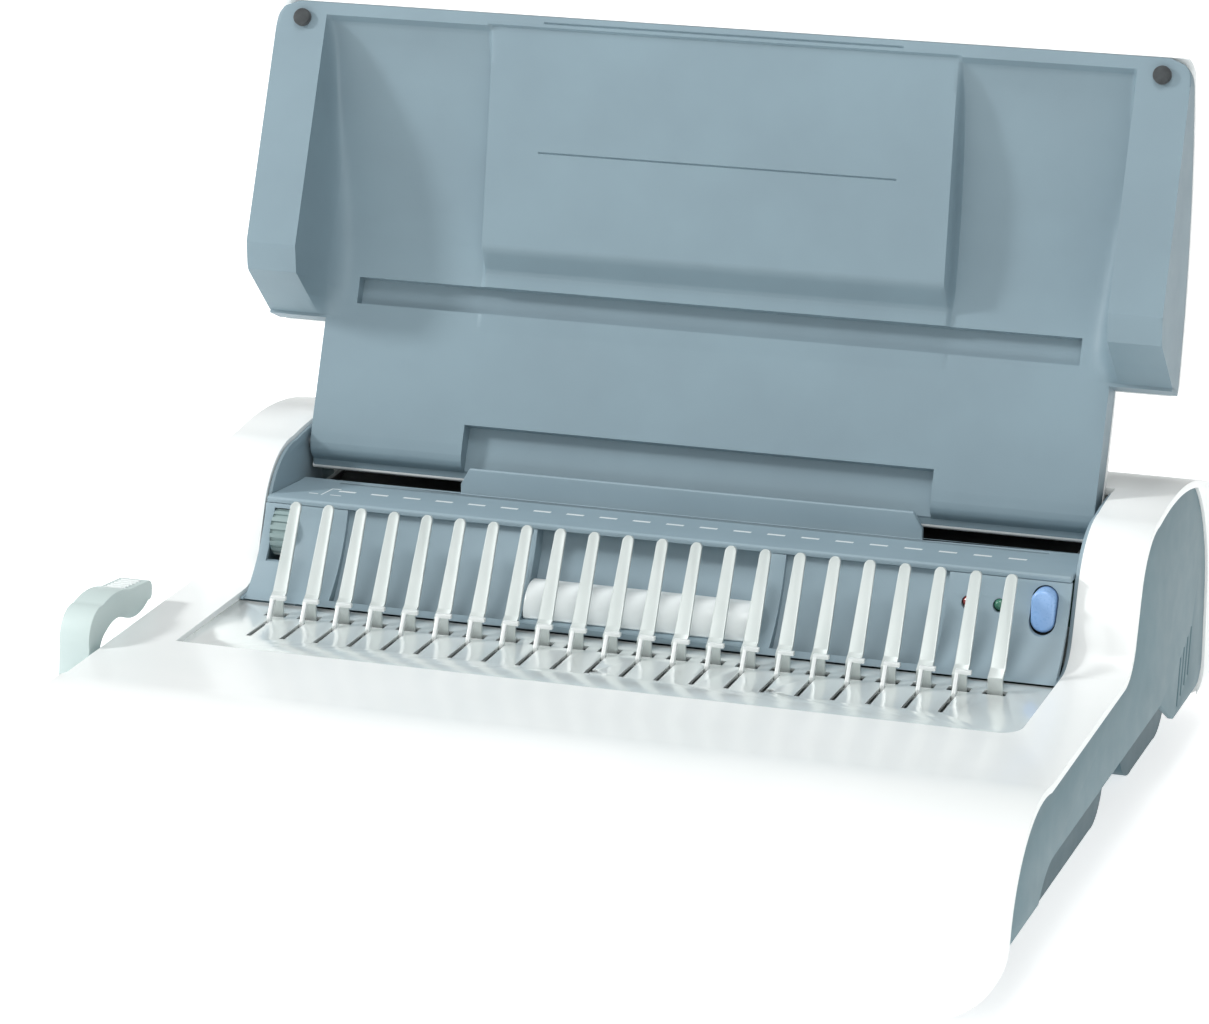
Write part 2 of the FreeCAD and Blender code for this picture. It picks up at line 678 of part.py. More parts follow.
guides = [block(f"slider_guide_{index}", (f"{place} - 2", f"{place} + 2"), ("-84", "-34"),
                ("foot_bottom + rubber_height + wall", "64.6")) for index, place in enumerate((-112, 0, 112))]
guide_group = doc.addObject("Part::Compound", "slider_guide_group")
guide_group.Links = guides
keep(guide_group, "slider_guides")

# ---------------------------------------------------------------- punch
PUNCH_FIRST = -S["finger_first"] + S["pitch"] / 2
PINS = 21
pin_places = [PUNCH_FIRST + S["pitch"] * number for number in range(PINS)]
PIN_HALF_X = S["pin_width"] / 2
PIN_HALF_Z = S["pin_thick"] / 2
PUNCH_Z = S["punch_height"]


def drilled(slab, clearance, start, end):
    """A plate with the 21 oblong punch holes."""
    holes = [cuboid(place - PIN_HALF_X - clearance, place + PIN_HALF_X + clearance, start, end,
                    PUNCH_Z - PIN_HALF_Z - clearance, PUNCH_Z + PIN_HALF_Z + clearance) for place in pin_places]
    return slab.cut(holes[0].multiFuse(holes[1:]))


die = cuboid(-160.8, 160.8, 41.8, 45.8, 78, 98)
keep(solid_feature("die_shape", drilled(die, 0.35, 30, 60)), "die_plate")
stripper = cuboid(-160.8, 160.8, 49.4, 52.4, 78, 98)
keep(solid_feature("stripper_shape", drilled(stripper, 0.35, 40, 60)), "stripper_plate")
keep(block("throat_floor_block", ("-160.8", "160.8"), ("41.8", "52.4"), ("72", "78")), "throat_floor")
pins = [cuboid(place - PIN_HALF_X, place + PIN_HALF_X, 51.0, 76, PUNCH_Z - PIN_HALF_Z, PUNCH_Z + PIN_HALF_Z)
        for place in pin_places]
keep(solid_feature("pins_shape", Part.makeCompound(pins)), "punch_pins")
bar = cuboid(-158, 158, 76, 83.5, 80, 95)
for place in (-130, 130):
    bar = bar.fuse(cuboid(place - 6, place + 6, 83.5, 100.8, 81, 95))
keep(solid_feature("bar_shape", bar.removeSplitter()), "punch_bar")
side_frame = outline_face([
    (38, 29), (150, 29), (150, 70), (128, 104), (56, 104), (38, 97),
])
shaft_y = S["shaft_back"]
IDLER_Y = shaft_y + 12.0
IDLER_Z = PUNCH_Z - math.sqrt(30.0 ** 2 - 12.0 ** 2)
MOTOR_Y = IDLER_Y + 18.0
MOTOR_Z = IDLER_Z - math.sqrt(23.0 ** 2 - 18.0 ** 2)
for side, name in ((-1, "frame_left"), (1, "frame_right")):
    inner = side * S["frame_inner"]
    sheet_metal = across(side_frame, min(inner, inner + side * 2), max(inner, inner + side * 2))
    sheet_metal = sheet_metal.cut(Part.makeCylinder(8, 20, Vector(inner - 10, shaft_y, PUNCH_Z), Vector(1, 0, 0)))
    if side > 0:
        pin_hole = Part.makeCylinder(3, 20, Vector(inner - 10, IDLER_Y, IDLER_Z), Vector(1, 0, 0))
        sheet_metal = sheet_metal.cut(pin_hole)
    keep(solid_feature(name + "_shape", sheet_metal), name)
bearing_parts = []
for index, side in enumerate((-1, 1)):
    inner = side * S["frame_inner"]
    ring = rod(f"bearing_ring_{index}", "x", f"{inner} - 3", f"{inner} + 3", "7.95", "shaft_back", "punch_height")
    bore = rod(f"bearing_bore_{index}", "x", f"{inner} - 9", f"{inner} + 9", "shaft_radius + 0.05",
               "shaft_back", "punch_height")
    bearing_parts.append(cut(f"bearing_{index}", ring, bore))
bearing_group = doc.addObject("Part::Compound", "bearing_group")
bearing_group.Links = bearing_parts
keep(bearing_group, "shaft_bearings")
keep(rod("drive_shaft_bar", "x", "-165", "165", "shaft_radius", "shaft_back", "punch_height"), "drive_shaft")
THROW = S["punch_stroke"] / 2
cams = []
for place in (-130, 130):
    disc = Part.makeCylinder(12, 8, Vector(place - 4, shaft_y + THROW, PUNCH_Z), Vector(1, 0, 0))
    bore = Part.makeCylinder(S["shaft_radius"], 20, Vector(place - 10, shaft_y, PUNCH_Z), Vector(1, 0, 0))
    cams.append(disc.cut(bore))
keep(solid_feature("cams_shape", Part.makeCompound(cams)), "punch_cams")
to_idler = math.atan2(IDLER_Z - PUNCH_Z, IDLER_Y - shaft_y)
to_motor = math.atan2(MOTOR_Z - IDLER_Z, MOTOR_Y - IDLER_Y)
keep(solid_feature("drive_gear_shape", gear(
    S["drive_teeth"], to_idler, shaft_y, PUNCH_Z, 141, 147, S["shaft_radius"])), "drive_gear")
small = gear(S["idler_small_teeth"], to_idler + math.pi + math.pi / S["idler_small_teeth"], IDLER_Y, IDLER_Z,
             140.6, 149, 2.55)
large = gear(S["idler_large_teeth"], to_motor, IDLER_Y, IDLER_Z, 149, 155, 2.55)
keep(solid_feature("idler_shape", small.fuse(large).removeSplitter()), "idler_gear")
keep(solid_feature("idler_pin_shape", Part.makeCylinder(
    2.5, 23.5, Vector(139.5, IDLER_Y, IDLER_Z), Vector(1, 0, 0))), "idler_pin")
pinion = gear(S["motor_teeth"], to_motor + math.pi + math.pi / S["motor_teeth"], MOTOR_Y, MOTOR_Z, 149, 155)
pinion = pinion.fuse(Part.makeCylinder(1.6, 8, Vector(141, MOTOR_Y, MOTOR_Z), Vector(1, 0, 0)))
keep(solid_feature("motor_pinion_shape", pinion.removeSplitter()), "motor_pinion")
MOTOR_RADIUS = 16.0
can = Part.makeCylinder(MOTOR_RADIUS, 52, Vector(82, MOTOR_Y, MOTOR_Z), Vector(1, 0, 0))
boss = Part.makeCylinder(6, 4, Vector(134, MOTOR_Y, MOTOR_Z), Vector(1, 0, 0))
motor = can.fuse(boss).cut(Part.makeCylinder(1.9, 12, Vector(130, MOTOR_Y, MOTOR_Z), Vector(1, 0, 0)))
keep(solid_feature("motor_shape", motor.removeSplitter()), "motor")
cradle = cuboid(92, 124, MOTOR_Y - 18, MOTOR_Y + 18, 29.2, MOTOR_Z)
cradle = cradle.fuse(cuboid(92, 124, MOTOR_Y - 18, MOTOR_Y - 7, 8.2, 30)).removeSplitter().cut(
    Part.makeCylinder(MOTOR_RADIUS + 0.02, 80, Vector(70, MOTOR_Y, MOTOR_Z), Vector(1, 0, 0)))
keep(solid_feature("cradle_shape", Part.makeCompound(cradle.Solids)), "motor_cradle")
keep(prism("cover_body", "YZ", [
    ("53", "99.2"), ("53", "100.8"), ("76", "103.4"), ("84", "103.4"), ("84", "101.8"), ("76", "101.8"),
], "2 * frame_inner - 0.4", middle=True), "mechanism_cover")

# ---------------------------------------------------------------- edge guide
dial = Part.makeCylinder(DIAL_RADIUS, 7, Vector(DIAL_X - 3.5, DIAL_Y, DIAL_Z), Vector(1, 0, 0))
RIDGES = 18
grooves = []
for number in range(RIDGES):
    angle = 2 * math.pi * number / RIDGES
    grooves.append(Part.makeCylinder(0.9, 10, Vector(
        DIAL_X - 5, DIAL_Y + (DIAL_RADIUS + 0.35) * math.cos(angle),
        DIAL_Z + (DIAL_RADIUS + 0.35) * math.sin(angle)), Vector(1, 0, 0)))
dial = dial.cut(grooves[0].multiFuse(grooves[1:]))
keep(solid_feature("dial_shape", dial), "edge_guide_dial")
keep(solid_feature("dial_screw_shape", Part.makeCylinder(
    2.5, 20, Vector(DIAL_X + 3.5, DIAL_Y, DIAL_Z), Vector(1, 0, 0))), "edge_guide_screw")
nut = cuboid(-157.5, -151, 9.5, 16.5, 89.5, 98.3).cut(
    Part.makeCylinder(2.56, 20, Vector(-160, DIAL_Y, DIAL_Z), Vector(1, 0, 0)))
nut = nut.fuse(cuboid(-157.5, -154.5, 11.6, 48.8, 98.3, 101))
nut = nut.fuse(cuboid(-157.5, -154.5, 46.4, 48.8, 84, 98.3))
keep(solid_feature("edge_guide_shape", nut.removeSplitter()), "edge_guide")
bracket = cuboid(-143.5, -141, 9.5, 17, 86, 98.3).cut(
    Part.makeCylinder(2.56, 20, Vector(-155, DIAL_Y, DIAL_Z), Vector(1, 0, 0)))
keep(solid_feature("dial_bracket_shape", bracket), "dial_bracket")

# ---------------------------------------------------------------- button, lamps, board
BUTTON_FRONT = mid_depth(BUTTON_Z) - 3.0
button = capsule(BUTTON_X, BUTTON_Z, BUTTON_HALF, BUTTON_TALL, BUTTON_FRONT, BUTTON_FRONT + 12)
keep(solid_feature("button_shape", button), "punch_button")
BOARD_Y = 30.0
for name, place in LAMP_PLACES.items():
    front_y = mid_depth(LAMP_Z) - 0.6
    lens = Part.makeCylinder(2.4, 10, Vector(place, front_y + 2.4, LAMP_Z), Vector(0, 1, 0))
    lens = lens.fuse(Part.makeSphere(2.4, Vector(place, front_y + 2.4, LAMP_Z)))
    lens = lens.fuse(Part.makeCylinder(0.5, BOARD_Y - front_y - 12.4,
                                       Vector(place, front_y + 12.4, LAMP_Z), Vector(0, 1, 0)))
    keep(solid_feature(name + "_shape", lens.removeSplitter()), name)
keep(block("board_slab", ("118", "168"), (f"{BOARD_Y}", f"{BOARD_Y} + 1.6"), ("82", "102")), "indicator_board")
switch_start = BUTTON_FRONT + 12 + 4.0
plunger = Part.makeCylinder(1.5, 3.6, Vector(BUTTON_X, switch_start - 1.4, BUTTON_Z), Vector(0, 1, 0))
micro = cuboid(BUTTON_X - 4, BUTTON_X + 4, switch_start + 2.2, BOARD_Y, BUTTON_Z - 3, BUTTON_Z + 3)
keep(solid_feature("micro_switch_shape", micro.fuse(plunger)), "button_switch")
coils = []
for level in (-5.4, 5.4):
    foot = Vector(BUTTON_X, BUTTON_FRONT + 12, BUTTON_Z + level)
    ring = Part.makeCylinder(2.2, BOARD_Y - BUTTON_FRONT - 12, foot, Vector(0, 1, 0))
    coils.append(ring.cut(Part.makeCylinder(1.6, 40, foot - Vector(0, 5, 0), Vector(0, 1, 0))))
keep(solid_feature("button_spring_shape", Part.makeCompound(coils)), "button_springs")
keep(block("control_board_slab", ("70", "150"), ("30", "110"), ("34", "35.6")), "control_board")
standoffs = [rod(f"standoff_{index}", "z", "base_low + wall", "34", "2.5", side, deep)
             for index, (side, deep) in enumerate((("74", "44"), ("146", "44"), ("74", "72"), ("146", "72")))]
standoff_group = doc.addObject("Part::Compound", "standoff_group")
standoff_group.Links = standoffs
keep(standoff_group, "board_standoffs")

# ---------------------------------------------------------------- back: inlet, switch, chip tray
BACK = REAR - 2.2
inlet = cuboid(118.6, 146.4, BACK - 24, BACK + 1.0, 29.2, 49.4).cut(
    cuboid(121, 144, BACK - 14, BACK + 2, 31.5, 46.5))
for place in (126.5, 132.5, 138.5):
    inlet = inlet.fuse(cuboid(place - 1, place + 1, BACK - 14, BACK - 4, 37, 41))
keep(solid_feature("inlet_shape", inlet), "mains_inlet")
bezel = cuboid(86.6, 105.4, BACK - 14, BACK + 1.0, 30.6, 45.4).cut(
    cuboid(89, 103, BACK - 10, BACK + 2, 32.6, 43.4))
ROCKER_AXIS = Vector(0, BACK - 5, 38)
bezel = bezel.cut(Part.makeCylinder(1.26, 15.6, ROCKER_AXIS + Vector(88.2, 0, 0), Vector(1, 0, 0)))
keep(solid_feature("bezel_shape", bezel), "switch_bezel")
rocker_face = outline_face([
    (BACK - 6, 33.6), (BACK + 1.6, 34.9), (BACK - 0.6, 38.0), (BACK - 0.6, 38.0 + 4.4), (BACK - 6, 42.8)])
rocker = across(rocker_face, 89.5, 102.5).fuse(
    Part.makeCylinder(1.2, 15.2, ROCKER_AXIS + Vector(88.4, 0, 0), Vector(1, 0, 0)))
keep(solid_feature("rocker_shape", rocker.removeSplitter()), "power_switch")
tray_box = cuboid(-150, 66, -6, 183.4, 29.6, 52.6).cut(cuboid(-148, 64, -4, 180.8, 31.6, 60))
grip = cuboid(-62, -22, 183.4, 186.4, 44, 50).cut(cuboid(-60, -24, 183.0, 184.9, 42, 48))
keep(solid_feature("tray_shape", tray_box.fuse(grip).removeSplitter()), "chip_tray")

# ---------------------------------------------------------------- lid, drawn shut and turned open
OPEN = FreeCAD.Placement(Vector(0, 0, 0), FreeCAD.Rotation(Vector(1, 0, 0), -S["lid_angle"]), HINGE)
LID_FRONT = -122.0
RIM = 75.8


def lid_side(rim_low=RIM):
    """The side view of the shut lid: crown, rim, ramp over the hump's front, neck and barrel."""
    return outline_face([
        (LID_FRONT, rim_low),
        (-14, RIM + 0.4),
        (-5.5, 81, -8.4, 77),
        (6.5, 111.4),
        (56, 112.6),
        (66.5, 119, 64.4, 114.2),
        (70, 120.5, 68.7, 119.6),
        (66, HUMP, 69.2, 125.2),
        (12, HUMP - 0.4, 39, HUMP + 0.4),
        (LID_FRONT + 2, 81, -62, 110.6),
        (LID_FRONT, 77.6, LID_FRONT + 0.5, 79.4),
    ])


def lid_plan(shrink):
    """The lid from above: a wide head that narrows to the neck between the humps."""
    half = S["lid_half"] - shrink
    neck = S["neck_half"] - shrink
    head = rounded_slab(half, LID_FRONT - 1 + shrink, 8 - shrink, 60, HUMP + 10, 9, 4)
    stem = cuboid(-neck, neck, 0, 80, 60, HUMP + 10)
    return head.fuse(stem).removeSplitter()


lid_body = across(lid_side(), -S["lid_half"] - 1, S["lid_half"] + 1).common(lid_plan(0))
SKIN = 2.6
under_crown = across(outline_face([
    (LID_FRONT + SKIN, 60),
    (90, 60),
    (90, 117),
    (67.6, 120.2),
    (63.5, 124.3, 66.8, 123.8),
    (12, 124.0, 38, 124.5),
    (LID_FRONT + 4.6, 80.2, -61.2, 108.2),
    (LID_FRONT + SKIN, 77.8),
]), -200, 200)
pin_bore = Part.makeCylinder(PIN_RADIUS, 400, HINGE + Vector(-200, 0, 0), Vector(1, 0, 0))
shell = lid_body.cut(under_crown).cut(pin_bore)
lid_shell = solid_feature("lid_shell_shape", shell)
lid_shell.Placement = OPEN
keep(lid_shell, "lid_outer_shell")

# The liner closes the crown from below: flanks, rim strips, two scooped pockets, a raised middle and a finger
# channel. Behind the strips, the middle and the neck it is hollow, open towards the crown.
liner = lid_body.common(under_crown)
STRIP = 172.0
PANEL_HALF = 100.0
pocket_face = outline_face([
    (LID_FRONT + 7, 70), (-6, 70), (-6, 108.5), (-20, 111, -12, 110.6), (LID_FRONT + 9, 78.4, -70, 99.8),
])
for low, high in ((-STRIP, -PANEL_HALF), (PANEL_HALF, STRIP)):
    liner = liner.cut(across(pocket_face, low, high))
middle_face = outline_face([
    (LID_FRONT + 7, 70), (-6, 70), (-6, 108.5), (-17, 108.5), (-26, 99), (LID_FRONT + 7, 77.6),
])
liner = liner.cut(across(middle_face, -PANEL_HALF - 0.5, PANEL_HALF + 0.5))
floor_face = outline_face([(-6.5, 60), (8.5, 60), (8.5, 111.5), (6.5, 111.4), (-6.5, 108.5)])
liner = liner.cut(across(floor_face, -STRIP, STRIP))
channel = cuboid(-155, 155, -10.5, 1.5, 100, 117.0)
liner = liner.cut(channel)
notch = across(outline_face([(47.6, 100), (47.6, 116.9), (50, 118.6), (80, 118.6), (80, 100)]),
               -S["notch_half"], S["notch_half"])
liner = liner.cut(notch)
liner = liner.cut(pin_bore)
strip_void = outline_face([
    (LID_FRONT + 5, 78.5), (-15, 78.9), (-8, 83), (3.8, 113.6), (3.8, 140), (LID_FRONT + 5, 140)])
middle_void = outline_face([
    (LID_FRONT + 12, 81.4), (-27.2, 102), (-19, 111.4), (-15.5, 111.4), (-15.5, 140), (LID_FRONT + 12, 140)])
neck_void = outline_face([(7, 114.4), (45.0, 115.2), (45.0, 140), (7, 140)])
liner = liner.cut(across(strip_void, -191.5, -STRIP - 2.5)).cut(across(strip_void, STRIP + 2.5, 191.5))
liner = liner.cut(across(middle_void, -PANEL_HALF + 3, PANEL_HALF - 3)).cut(across(neck_void, -165.5, 165.5))
bumpers = [Part.makeCylinder(3.7, 3.0, Vector(side * 182.3, -112, RIM - 2.2), Vector(0, 0, 1))
           for side in (-1, 1)]
liner = liner.cut(bumpers[0].fuse(bumpers[1]))
lid_liner = solid_feature("lid_liner_shape", liner.removeSplitter())
lid_liner.Placement = OPEN
keep(lid_liner, "lid_inner_liner")
bumper_group = solid_feature("bumper_shape", Part.makeCompound(bumpers))
bumper_group.Placement = OPEN
keep(bumper_group, "lid_bumpers")
PIN_LENGTH = 20.0
hinge_pins = []
for side in (-1, 1):
    pin_start = HINGE + Vector(side * 167 - PIN_LENGTH / 2, 0, 0)
    hinge_pins.append(Part.makeCylinder(PIN_RADIUS, PIN_LENGTH, pin_start, Vector(1, 0, 0)))
keep(solid_feature("hinge_pin_shape", Part.makeCompound(hinge_pins)), "lid_hinge_pins")


def write_parts():
    doc.recompute()
    faults = []
    for thing in doc.Objects:
        if "Invalid" in thing.State or "Error" in thing.State:
            faults.append(thing.Label)
    for node in NODES:
        if node.Shape.isNull() or not node.Shape.isValid():
            faults.append(node.Label)
    if faults:
        raise SystemExit("not built: " + ", ".join(faults))
    whole = FreeCAD.BoundBox()
    for node in NODES:
        whole.add(node.Shape.optimalBoundingBox(False))
    # The finished machine is moved so that its box is centred over the origin.
    shift = Vector(-whole.Center.x, -whole.Center.y, 0)
    for node in NODES:
        node.Placement.Base = node.Placement.Base + shift
    print("shift", round(shift.x, 4), round(shift.y, 4))
    os.makedirs("parts", exist_ok=True)
    for node in NODES:
        node.Shape.exportStep(f"parts/{node.Label}.step")
        print(node.Label, len(node.Shape.Solids), round(node.Shape.Volume))


write_parts()
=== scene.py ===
# %% [markdown]
# # A comb binding machine with its lid open
# The machine punches a row of oblong holes in a stack of paper, and opens a plastic comb over a row of
# steel fingers so the sheets can be hung on it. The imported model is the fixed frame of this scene: every
# piece made here sits on it, in metres, and rides on one of its bodies.

import bmesh
import bpy
import json
import math
from mathutils import Matrix, Vector
from mathutils.bvhtree import BVHTree


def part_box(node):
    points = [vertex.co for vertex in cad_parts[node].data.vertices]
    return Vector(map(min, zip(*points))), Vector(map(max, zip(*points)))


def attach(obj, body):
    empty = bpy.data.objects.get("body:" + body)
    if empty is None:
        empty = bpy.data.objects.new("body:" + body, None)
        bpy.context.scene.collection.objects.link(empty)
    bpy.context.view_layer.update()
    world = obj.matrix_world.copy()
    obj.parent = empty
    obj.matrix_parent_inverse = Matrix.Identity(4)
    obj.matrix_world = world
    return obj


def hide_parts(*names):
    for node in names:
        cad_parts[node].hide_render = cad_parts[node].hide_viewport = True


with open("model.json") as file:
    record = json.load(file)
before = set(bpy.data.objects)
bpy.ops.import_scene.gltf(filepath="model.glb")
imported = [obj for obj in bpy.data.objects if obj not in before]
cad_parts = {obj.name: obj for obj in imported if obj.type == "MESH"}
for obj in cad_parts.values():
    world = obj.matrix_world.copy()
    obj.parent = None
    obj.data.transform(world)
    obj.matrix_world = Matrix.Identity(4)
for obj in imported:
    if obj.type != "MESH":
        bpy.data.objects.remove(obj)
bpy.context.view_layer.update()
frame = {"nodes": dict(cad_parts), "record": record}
MM = 0.001
joint_of = {joint["name"]: joint for joint in frame["record"]["behaviour"]["joints"]}
HINGE_MM = Vector((0.0, 60.0, 119.0))  # the lid hinge in drawing millimetres
OPEN_ANGLE = math.radians(113)  # from the shut lid to the open one
HOME = Vector(joint_of["lid_hinge"]["pos_m"]) - HINGE_MM * MM
PITCH = 14.2875  # between two fingers, as between two rings of a plastic comb
FINGERS = 22
ROW_START = -150.0  # the first finger's place across the machine

# %% [markdown]
# ## Helpers for materials
# A moulding or a sheet is never one flat colour. Each finish below is a small node tree: a base colour
# with a slow drift in it, a roughness that varies a little, and a bump whose size comes from the real
# grain. All of them read Object coordinates, which are metres here because every object sits at the
# origin.


# %% Colour and node helpers
def linear(hex_text):
    """An sRGB hex colour as the linear RGBA that the shader sockets hold."""
    channels = [int(hex_text[i:i + 2], 16) / 255 for i in (0, 2, 4)]
    return [c / 12.92 if c <= 0.04045 else ((c + 0.055) / 1.055) ** 2.4 for c in channels] + [1.0]


def add_node(tree, kind, settings=None, values=None, links=None):
    """Adds one node, sets its own settings and its sockets' values, and links sockets from other nodes."""
    node = tree.nodes.new(kind)
    for name, value in (settings or {}).items():
        setattr(node, name, value)
    for name, value in (values or {}).items():
        node.inputs[name].default_value = value
    for name, source in (links or {}).items():
        tree.links.new(source, node.inputs[name])
    return node


def new_finish(name, shader_values):
    """A material with its Principled shader, and the Object coordinates ready to use."""
    material = bpy.data.materials.new(name)
    material.use_nodes = True
    tree = material.node_tree
    shader = tree.nodes["Principled BSDF"]
    for socket, value in shader_values.items():
        shader.inputs[socket].default_value = value
    place = add_node(tree, "ShaderNodeTexCoord").outputs["Object"]
    return material, tree, shader, place


def drift(tree, place, low_hex, high_hex, patch_mm, contrast=(0.35, 0.65)):
    """A slow change between two close colours, in patches of a given size."""
    noise = add_node(tree, "ShaderNodeTexNoise", values={"Scale": 1000 / patch_mm, "Detail": 3.0},
                     links={"Vector": place})
    ramp = add_node(tree, "ShaderNodeValToRGB", links={"Fac": noise.outputs["Fac"]})
    ramp.color_ramp.elements[0].position = contrast[0]
    ramp.color_ramp.elements[1].position = contrast[1]
    ramp.color_ramp.elements[0].color = linear(low_hex)
    ramp.color_ramp.elements[1].color = linear(high_hex)
    return ramp.outputs["Color"]


def vary_roughness(tree, shader, pattern, low, high):
    """Lets the roughness follow a 0 to 1 pattern, from low to high."""
    varied = add_node(tree, "ShaderNodeMapRange", values={"To Min": low, "To Max": high},
                      links={"Value": pattern})
    tree.links.new(varied.outputs["Result"], shader.inputs["Roughness"])


def emboss(tree, shader, pattern, strength, height_mm):
    """Raises a pattern on the surface as a bump, on top of any bump that is there already."""
    links = {"Height": pattern}
    for below in shader.inputs["Normal"].links:
        links["Normal"] = below.from_socket
    bump = add_node(tree, "ShaderNodeBump", values={"Strength": strength, "Distance": height_mm * MM},
                    links=links)
    tree.links.new(bump.outputs["Normal"], shader.inputs["Normal"])


print("white shell in linear light:", [round(c, 3) for c in linear("F5F7F6")])

# %% [markdown]
# ## Moulded plastics
# The shell is ABS from a polished tool: glossy, with the faint waviness of a large moulding. The liner,
# cheeks and base are ABS from a spark-eroded tool, whose fine grain makes a broad soft highlight. Real
# grain is about 0.2 mm, too fine to show at this distance, so it is drawn near 0.7 mm and kept shallow.


# %% Polished and grained ABS
def polished_abs(name, low_hex, high_hex, roughness, coat=0.0, wave_mm=25, speck_mm=1.2):
    """Glossy plastic with a slow waviness and a faint speckle, and a clear gloss where coat is over 0."""
    material, tree, shader, place = new_finish(
        name, {"IOR": 1.53, "Coat Weight": coat, "Coat Roughness": 0.12})
    tree.links.new(drift(tree, place, low_hex, high_hex, 60), shader.inputs["Base Color"])
    wave = add_node(tree, "ShaderNodeTexNoise", values={"Scale": 1000 / wave_mm, "Detail": 1.0},
                    links={"Vector": place})
    speck = add_node(tree, "ShaderNodeTexNoise", values={"Scale": 1000 / speck_mm, "Detail": 2.0},
                     links={"Vector": place})
    vary_roughness(tree, shader, speck.outputs["Fac"], roughness - 0.05, roughness + 0.06)
    emboss(tree, shader, wave.outputs["Fac"], 0.05, 0.6)
    emboss(tree, shader, speck.outputs["Fac"], 0.05, 0.1)
    return material


def grained_abs(name, low_hex, high_hex, roughness=0.52, grain_mm=0.7, depth=0.10, cloud_mm=9):
    """Matt plastic with a fine eroded grain, a little glossier in soft clouds."""
    material, tree, shader, place = new_finish(name, {"IOR": 1.53})
    tree.links.new(drift(tree, place, low_hex, high_hex, 45), shader.inputs["Base Color"])
    grain = add_node(tree, "ShaderNodeTexVoronoi", {"feature": "SMOOTH_F1"}, {"Scale": 1000 / grain_mm},
                     {"Vector": place})
    cloud = add_node(tree, "ShaderNodeTexNoise", values={"Scale": 1000 / cloud_mm, "Detail": 4.0},
                     links={"Vector": place})
    vary_roughness(tree, shader, cloud.outputs["Fac"], roughness - 0.07, roughness + 0.07)
    emboss(tree, shader, grain.outputs["Distance"], depth, 0.15)
    return material


# %% The plastics of this machine
# The white shell is the glossiest large piece. Panel, liner, cheeks and base go from pale to dark blue-
# grey and are matt. The small parts that are touched are polished, and the gears are milky natural
# acetal.
finishes = {
    "white_shell": polished_abs("polished_white_abs", "F1F4F3", "F5F7F6", 0.34, coat=0.15),
    "liner_grey": grained_abs("grained_blue_grey_abs", "788C96", "7C919B"),
    "panel_grey": grained_abs("grained_panel_abs", "899DA7", "8DA1AB"),
    "cheek_grey": grained_abs("grained_cheek_abs", "58767F", "5D7B84"),
    "base_grey": grained_abs("grained_base_abs", "3F5E68", "45656F"),
    "lever_grey": polished_abs("polished_pale_grey_abs", "C4D3D1", "CDDBD9", 0.38),
    "dial_grey": polished_abs("polished_mid_grey_abs", "8CA0A0", "9AAEAE", 0.40),
    "gauge_white": polished_abs("polished_gauge_abs", "E6ECEC", "EFF4F3", 0.30, coat=0.2),
    "button_blue": polished_abs("polished_blue_abs", "8AB2E4", "97BCEA", 0.28, coat=0.3),
    "black_plastic": grained_abs("grained_black_nylon", "1C1D1F", "26282A", 0.5),
    "gear_white": grained_abs("moulded_natural_acetal", "DEDCD2", "E9E7DE", 0.4, 1.5, 0.05),
}
print("plastics:", sorted(finishes))

# %% [markdown]
# ## Steels, rubber, lamp lenses and boards
# The comb plate is bright rolled stainless sheet with fine rolling lines along its length, smooth enough
# for the fingers to show in it. Fingers and hooks have a pale satin plating. Pure metal would only mirror
# the room and the lid, so all three are less than fully metallic: the rest is the milky haze of a satin
# surface. Tool steel is ground, zinc sheet is duller and cloudy, rubber is dark and almost without gloss,
# and the lenses are tinted clear plastic that glows a little.


# %% Metals and small finishes
def lined_metal(name, low_hex, high_hex, roughness, line_mm, along, bump=0.04, metallic=1.0):
    """Sheet or bar with fine lines that run along one axis. Less than 1 metallic is a milky satin."""
    material, tree, shader, place = new_finish(name, {"Metallic": metallic})
    stretch = [1.0, 1.0, 1.0]
    stretch["xyz".index(along)] = 0.012
    turned = add_node(tree, "ShaderNodeMapping", values={"Scale": stretch}, links={"Vector": place})
    lines = add_node(tree, "ShaderNodeTexNoise", values={"Scale": 1000 / line_mm, "Detail": 2.0},
                     links={"Vector": turned.outputs["Vector"]})
    tree.links.new(drift(tree, place, low_hex, high_hex, 35), shader.inputs["Base Color"])
    vary_roughness(tree, shader, lines.outputs["Fac"], roughness - 0.07, roughness + 0.09)
    emboss(tree, shader, lines.outputs["Fac"], bump, 0.05)
    return material


def soft_rubber(name, pore_mm=0.8):
    """Dark moulded rubber, dull all over, with small pores."""
    material, tree, shader, place = new_finish(name, {"IOR": 1.5, "Sheen Weight": 0.15})
    tree.links.new(drift(tree, place, "2E3234", "3B4042", 4), shader.inputs["Base Color"])
    pores = add_node(tree, "ShaderNodeTexNoise", values={"Scale": 1000 / pore_mm, "Detail": 4.0},
                     links={"Vector": place})
    vary_roughness(tree, shader, pores.outputs["Fac"], 0.7, 0.9)
    emboss(tree, shader, pores.outputs["Fac"], 0.2, 0.1)
    return material


def tinted_lens(name, low_hex, high_hex, facet_mm=0.9):
    """A small clear cap, moulded with facets that spread the lamp's light."""
    material, tree, shader, place = new_finish(
        name, {"IOR": 1.49, "Transmission Weight": 0.25, "Coat Weight": 0.6, "Emission Strength": 0.05})
    tint = drift(tree, place, low_hex, high_hex, 3)
    tree.links.new(tint, shader.inputs["Base Color"])
    tree.links.new(tint, shader.inputs["Emission Color"])
    facets = add_node(tree, "ShaderNodeTexVoronoi", values={"Scale": 1000 / facet_mm},
                      links={"Vector": place})
    vary_roughness(tree, shader, facets.outputs["Distance"], 0.08, 0.22)
    return material


